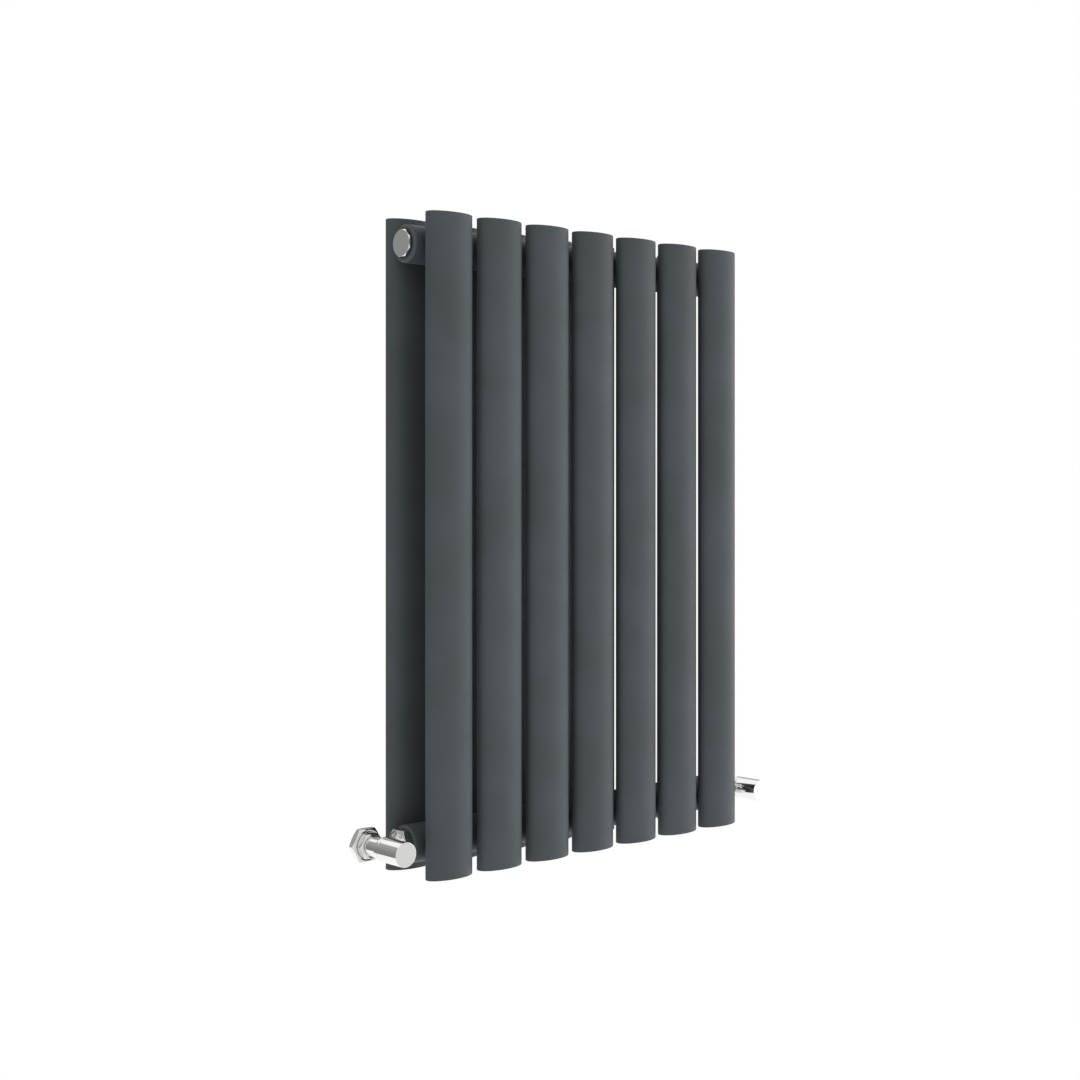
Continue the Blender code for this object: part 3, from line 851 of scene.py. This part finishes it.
def spindleShape():
    # Round through the gland, with a milled square end for the wheel or the key
    spindle = {
        "gland": 0.003,
        "front": -0.0228,
        "collar": 0.0045,
        "collarFront": -0.0125,
        "collarBack": -0.0095,
        "tip": 0.0022,
        "back": -0.0012,
    }
    key = {"side": 0.0042, "front": 0.0333, "back": 0.0216}
    shaft = [
        (0, spindle["front"]),
        (spindle["gland"], spindle["front"]),
        (spindle["gland"], spindle["collarFront"]),
        (spindle["collar"], spindle["collarFront"]),
        (spindle["collar"], spindle["collarBack"]),
        (spindle["tip"], spindle["collarBack"]),
        (spindle["tip"], spindle["back"]),
        (0, spindle["back"]),
    ]
    square = bmesh.new()
    bmesh.ops.create_cube(square, size=1)
    length = key["front"] - key["back"]
    bmesh.ops.scale(square, verts=square.verts, vec=(key["side"], length, key["side"]))
    bmesh.ops.translate(square, verts=square.verts, vec=(0, -key["front"] + length / 2, 0))
    easeEdges(square, 0.0003, 3)
    return joinedShape(spunShape(shaft, "Y", 0.00015, 48), added=[square])


def sleeveShape():
    # Moulded sleeve in the lockshield cap, which grips the bonnet
    sleeve = {"front": -0.0347, "back": -0.0165, "inner": 0.00765, "outer": 0.0096}
    profile = [
        (sleeve["inner"], sleeve["front"]),
        (sleeve["outer"], sleeve["front"]),
        (sleeve["outer"], sleeve["back"]),
        (sleeve["inner"], sleeve["back"]),
    ]
    return spunShape(profile, "Y", 0.0003)


def wheelPlugShape():
    # Moulded plug in the handwheel, with the square hole that drives the spindle
    plug = {"radius": 0.0096, "front": -0.0347, "back": -0.0226}
    key = {"side": 0.0048, "front": 0.0336, "back": 0.0216}
    profile = [
        (0, plug["front"]),
        (plug["radius"], plug["front"]),
        (plug["radius"], plug["back"]),
        (0, plug["back"]),
    ]
    square = bmesh.new()
    bmesh.ops.create_cube(square, size=1)
    length = key["front"] - key["back"]
    bmesh.ops.scale(square, verts=square.verts, vec=(key["side"], length, key["side"]))
    bmesh.ops.translate(square, verts=square.verts, vec=(0, -key["front"] + length / 2, 0))
    return joinedShape(spunShape(profile, "Y", 0.0003), removed=[square])


inletNut = {
    "flats": 0.0295,
    "start": 0.0198,
    "end": 0.0272,
    "thread": 0.0123,
    "shoulder": 0.0246,
    "small": 0.0078,
}
unionNut = {
    "flats": 0.028,
    "start": 0.0173,
    "end": 0.0248,
    "thread": 0.0123,
    "shoulder": 0.0232,
    "small": 0.0106,
    "turn": math.pi / 6,
}
for side in ("left", "right"):
    place = valvePlace(side)
    finishPiece(bodyShape(), f"{side}_valve_body", place)
    finishPiece(adaptorShape(), f"{side}_inlet_adaptor", place)
    finishPiece(nutShape(inletNut, "Y"), f"{side}_compression_nut", place)
    finishPiece(nutShape(unionNut, "X"), f"{side}_union_nut", place)
    finishPiece(tailShape(), f"{side}_union_tail", place)
    finishPiece(oliveShape(), f"{side}_olive", place)
    finishPiece(bonnetShape(), f"{side}_bonnet", place)
    finishPiece(spindleShape(), f"{side}_spindle", place)
finishPiece(capShape(), "handwheel_shell", valvePlace("left"))
finishPiece(wheelPlugShape(), "handwheel_insert", valvePlace("left"))
finishPiece(capShape(), "lockshield_cap_shell", valvePlace("right"))
finishPiece(sleeveShape(), "lockshield_cap_insert", valvePlace("right"))
print("valves made")


# Wall brackets


def outlineShape(outline, thickness, axis):
    # Fills an outline, and gives it a thickness centred on zero
    bm = bmesh.new()
    points = [bm.verts.new((0, y, z)) for y, z in outline]
    for i in range(len(points)):
        bm.edges.new((points[i - 1], points[i]))
    bmesh.ops.triangle_fill(bm, use_beauty=True, edges=bm.edges[:], normal=(1, 0, 0))
    bmesh.ops.dissolve_limit(bm, angle_limit=0.01, verts=bm.verts[:], edges=bm.edges[:])
    grown = bmesh.ops.extrude_face_region(bm, geom=bm.faces[:])["geom"]
    side = [item for item in grown if isinstance(item, bmesh.types.BMVert)]
    bmesh.ops.translate(bm, verts=side, vec=(thickness, 0, 0))
    bmesh.ops.translate(bm, verts=bm.verts, vec=(-thickness / 2, 0, 0))
    # Turned before the normals are found, because the easing works from them
    if axis == "Y":
        bm.transform(Matrix.Rotation(math.pi / 2, 4, "Z"))
    turnFacesOut(bm)
    return bm


def arcOf(radius, start, end, count, centre=(0, 0)):
    angles = [start + (end - start) * i / count for i in range(count + 1)]
    return [(centre[0] + radius * math.cos(a), centre[1] + radius * math.sin(a)) for a in angles]


def makeBracket(level, side):
    # Cut from plate: a wall plate with an arm welded on, which hooks under the manifold
    bracket = {
        "inner": 0.0200,
        "outer": 0.0245,
        "from": math.radians(-150),
        "to": math.radians(10),
        "foot": math.radians(-40),
        "arm": 0.005,
        "armDepth": 0.018,
        "width": 0.048,
        "height": 0.027,
        "plate": 0.003,
        "corner": 0.003,
        "screw": 0.00275,
        "screwSpacing": 0.034,
        "plateLow": {"top": -0.0065, "bottom": -0.0265},
    }
    liner = {"inner": 0.0180, "outer": 0.0194}
    node = f"{level}_{side}_bracket"
    low, high = (Vector(corner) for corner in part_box(node))
    manifold = middleOf(f"{level}_manifold")
    x = (low.x + high.x) / 2
    wall = cadHigh.y - manifold.y
    plateLow = bracket["plateLow"][level]
    front = wall - bracket["plate"]
    armLow = plateLow + (bracket["height"] - bracket["armDepth"]) / 2
    arm = outlineShape(
        arcOf(bracket["inner"], bracket["from"], bracket["to"], 40)
        + [(front + 0.001, armLow + bracket["armDepth"]), (front + 0.001, armLow)]
        + arcOf(bracket["outer"], bracket["foot"], bracket["from"], 30),
        bracket["arm"],
        "X",
    )
    easeEdges(arm, 0.0004, 2, 50)
    down, up = bracket["corner"], bracket["height"] - bracket["corner"]
    across = bracket["width"] / 2 - bracket["corner"]
    corners = [(across, down), (across, up), (-across, up), (-across, down)]
    outline = []
    for i, (y, z) in enumerate(corners):
        start = math.pi / 2 * (i - 1)
        outline += arcOf(bracket["corner"], start, start + math.pi / 2, 6, (y, z))
    plate = outlineShape(outline, bracket["plate"], "Y")
    easeEdges(plate, 0.0003, 2, 50)
    bmesh.ops.translate(plate, verts=plate.verts, vec=(0, wall - bracket["plate"] / 2, plateLow))
    # The screw holes are cut after the edges are eased, so that the easing stays on the outline
    reach = bracket["plate"]
    rod = [(0, -reach), (bracket["screw"], -reach), (bracket["screw"], reach), (0, reach)]
    middle = plateLow + bracket["height"] / 2
    screws = []
    for sign in (-1, 1):
        screw = spunShape(rod, "Y", 0, 32)
        centre = (sign * bracket["screwSpacing"] / 2, wall - reach / 2, middle)
        bmesh.ops.translate(screw, verts=screw.verts, vec=centre)
        screws.append(screw)
    place = Matrix.Translation((x, manifold.y, manifold.z))
    finishPiece(joinedShape(plate, added=[arm], removed=screws), node, place)
    strip = outlineShape(
        arcOf(liner["inner"], bracket["from"], bracket["to"], 40)
        + arcOf(liner["outer"], bracket["to"], bracket["from"], 40),
        bracket["arm"],
        "X",
    )
    easeEdges(strip, 0.0003, 2, 50)
    finishPiece(strip, f"{level}_{side}_liner", place)


for level in ("top", "bottom"):
    for side in ("left", "right"):
        makeBracket(level, side)
print("brackets made")


# Inner pieces that stay as they are get their real finish


for node, slot in slotOfNode.items():
    obj = frame["nodes"][node]
    obj.data.materials.clear()
    obj.data.materials.append(finishes[slot][0])


# Studio


def makeWorld():
    # White above and below, a grey band round the horizon on the wall's side, a pale room, and
    # a bright window-like stretch on the right
    studio = {
        "bandLow": -0.33,
        "bandHigh": 0.55,
        "greyLow": 0.25,
        "greyMiddle": 0.27,
        "greyHigh": 0.45,
        "white": 1.15,
        "warmth": 0.985,
        "room": (0.84, 0.83, 0.815, 1),
        "window": (2.1, 2.1, 2.1, 1),
    }
    world = bpy.data.worlds.new("studio")
    bpy.context.scene.world = world
    world.use_nodes = True
    tree = world.node_tree
    tree.nodes.clear()
    where = addNode(tree, "ShaderNodeTexCoord").outputs["Generated"]
    height = addNode(tree, "ShaderNodeSeparateXYZ", links={"Vector": where}).outputs["Z"]
    reach = {"From Min": -1.0, "From Max": 1.0}
    along = addNode(tree, "ShaderNodeMapRange", reach, {"Value": height}).outputs["Result"]
    ramp = addNode(tree, "ShaderNodeValToRGB", links={"Fac": along})
    stops = [
        (-1.0, studio["white"]),
        (studio["bandLow"] - 0.02, studio["white"]),
        (studio["bandLow"], studio["greyLow"]),
        (0.02, studio["greyMiddle"]),
        (studio["bandHigh"], studio["greyHigh"]),
        (studio["bandHigh"] + 0.02, studio["white"]),
    ]
    elements = ramp.color_ramp.elements
    while len(elements) < len(stops):
        elements.new(1.0)
    for element, (at, value) in zip(elements, stops):
        element.position = (at + 1) / 2
        element.color = (value, value, value * studio["warmth"], 1)
    colour = ramp.outputs["Color"]
    sides = [("room", (0.55, -0.84, 0.0), -0.3, 0.1), ("window", (0.97, -0.24, 0.0), 0.83, 0.88)]
    for name, aim, start, full in sides:
        settings = {"operation": "DOT_PRODUCT", 1: aim}
        facing = addNode(tree, "ShaderNodeVectorMath", settings, {0: where}).outputs["Value"]
        settings = {"From Min": start, "From Max": full}
        share = addNode(tree, "ShaderNodeMapRange", settings, {"Value": facing}).outputs["Result"]
        settings = {"data_type": "RGBA", 7: studio[name]}
        mix = addNode(tree, "ShaderNodeMix", settings, {0: share, 6: colour})
        colour = mix.outputs[2]
    lit = addNode(tree, "ShaderNodeBackground", {"Strength": 1.0}, {"Color": colour})
    plain = addNode(tree, "ShaderNodeBackground", {"Color": (1, 1, 1, 1), "Strength": 1.0})
    seen = addNode(tree, "ShaderNodeLightPath").outputs["Is Camera Ray"]
    links = {0: seen, 1: lit.outputs[0], 2: plain.outputs[0]}
    chosen = addNode(tree, "ShaderNodeMixShader", links=links)
    addNode(tree, "ShaderNodeOutputWorld", links={"Surface": chosen.outputs[0]})


def addSoftbox(name, spot, aim, width, height, watts):
    light = bpy.data.lights.new(name, "AREA")
    light.shape = "RECTANGLE"
    light.size = width
    light.size_y = height
    light.energy = watts
    lamp = bpy.data.objects.new(name, light)
    lamp.location = spot
    lamp.rotation_euler = (Vector(aim) - Vector(spot)).to_track_quat("-Z", "Y").to_euler()
    bpy.context.scene.collection.objects.link(lamp)


def makeFloor():
    # A plain white floor, 150 mm below the radiator, as it hangs on its wall
    floor = {"half": 4.0, "below": 0.15}
    material = bpy.data.materials.new("whiteFloor")
    material.use_nodes = True
    tree = material.node_tree
    tree.nodes.clear()
    glow = addNode(tree, "ShaderNodeEmission", {"Color": (1, 1, 1, 1), "Strength": 1.0})
    addNode(tree, "ShaderNodeOutputMaterial", links={"Surface": glow.outputs["Emission"]})
    bm = bmesh.new()
    bmesh.ops.create_grid(bm, x_segments=1, y_segments=1, size=floor["half"])
    bmesh.ops.translate(bm, verts=bm.verts, vec=(0, 0, -floor["below"]))
    mesh = meshOf(bm, "floor")
    mesh.materials.append(material)
    obj = bpy.data.objects.new("floor", mesh)
    bpy.context.scene.collection.objects.link(obj)
    obj.visible_glossy = False  # so that the plated pieces mirror the studio and not the floor


def makeCamera():
    view = {
        "spot": (-1.11969, -1.25040, 0.34786),
        "turn": (math.pi / 2, 0, -0.7515),
        "lens": 56.06,
        "shift": (-0.05618, -0.04422),
    }
    data = bpy.data.cameras.new("camera")
    data.sensor_width = 36
    data.lens = view["lens"]
    data.shift_x, data.shift_y = view["shift"]
    camera = bpy.data.objects.new("camera", data)
    camera.location = view["spot"]
    camera.rotation_euler = view["turn"]
    bpy.context.scene.collection.objects.link(camera)
    bpy.context.scene.camera = camera


makeWorld()
makeFloor()
addSoftbox("rightSoftbox", (2.2, -0.7, 0.7), (0, 0, 0.3), 1.2, 2.0, 2)
makeCamera()
bpy.context.scene.view_settings.view_transform = "Standard"
print("studio made")
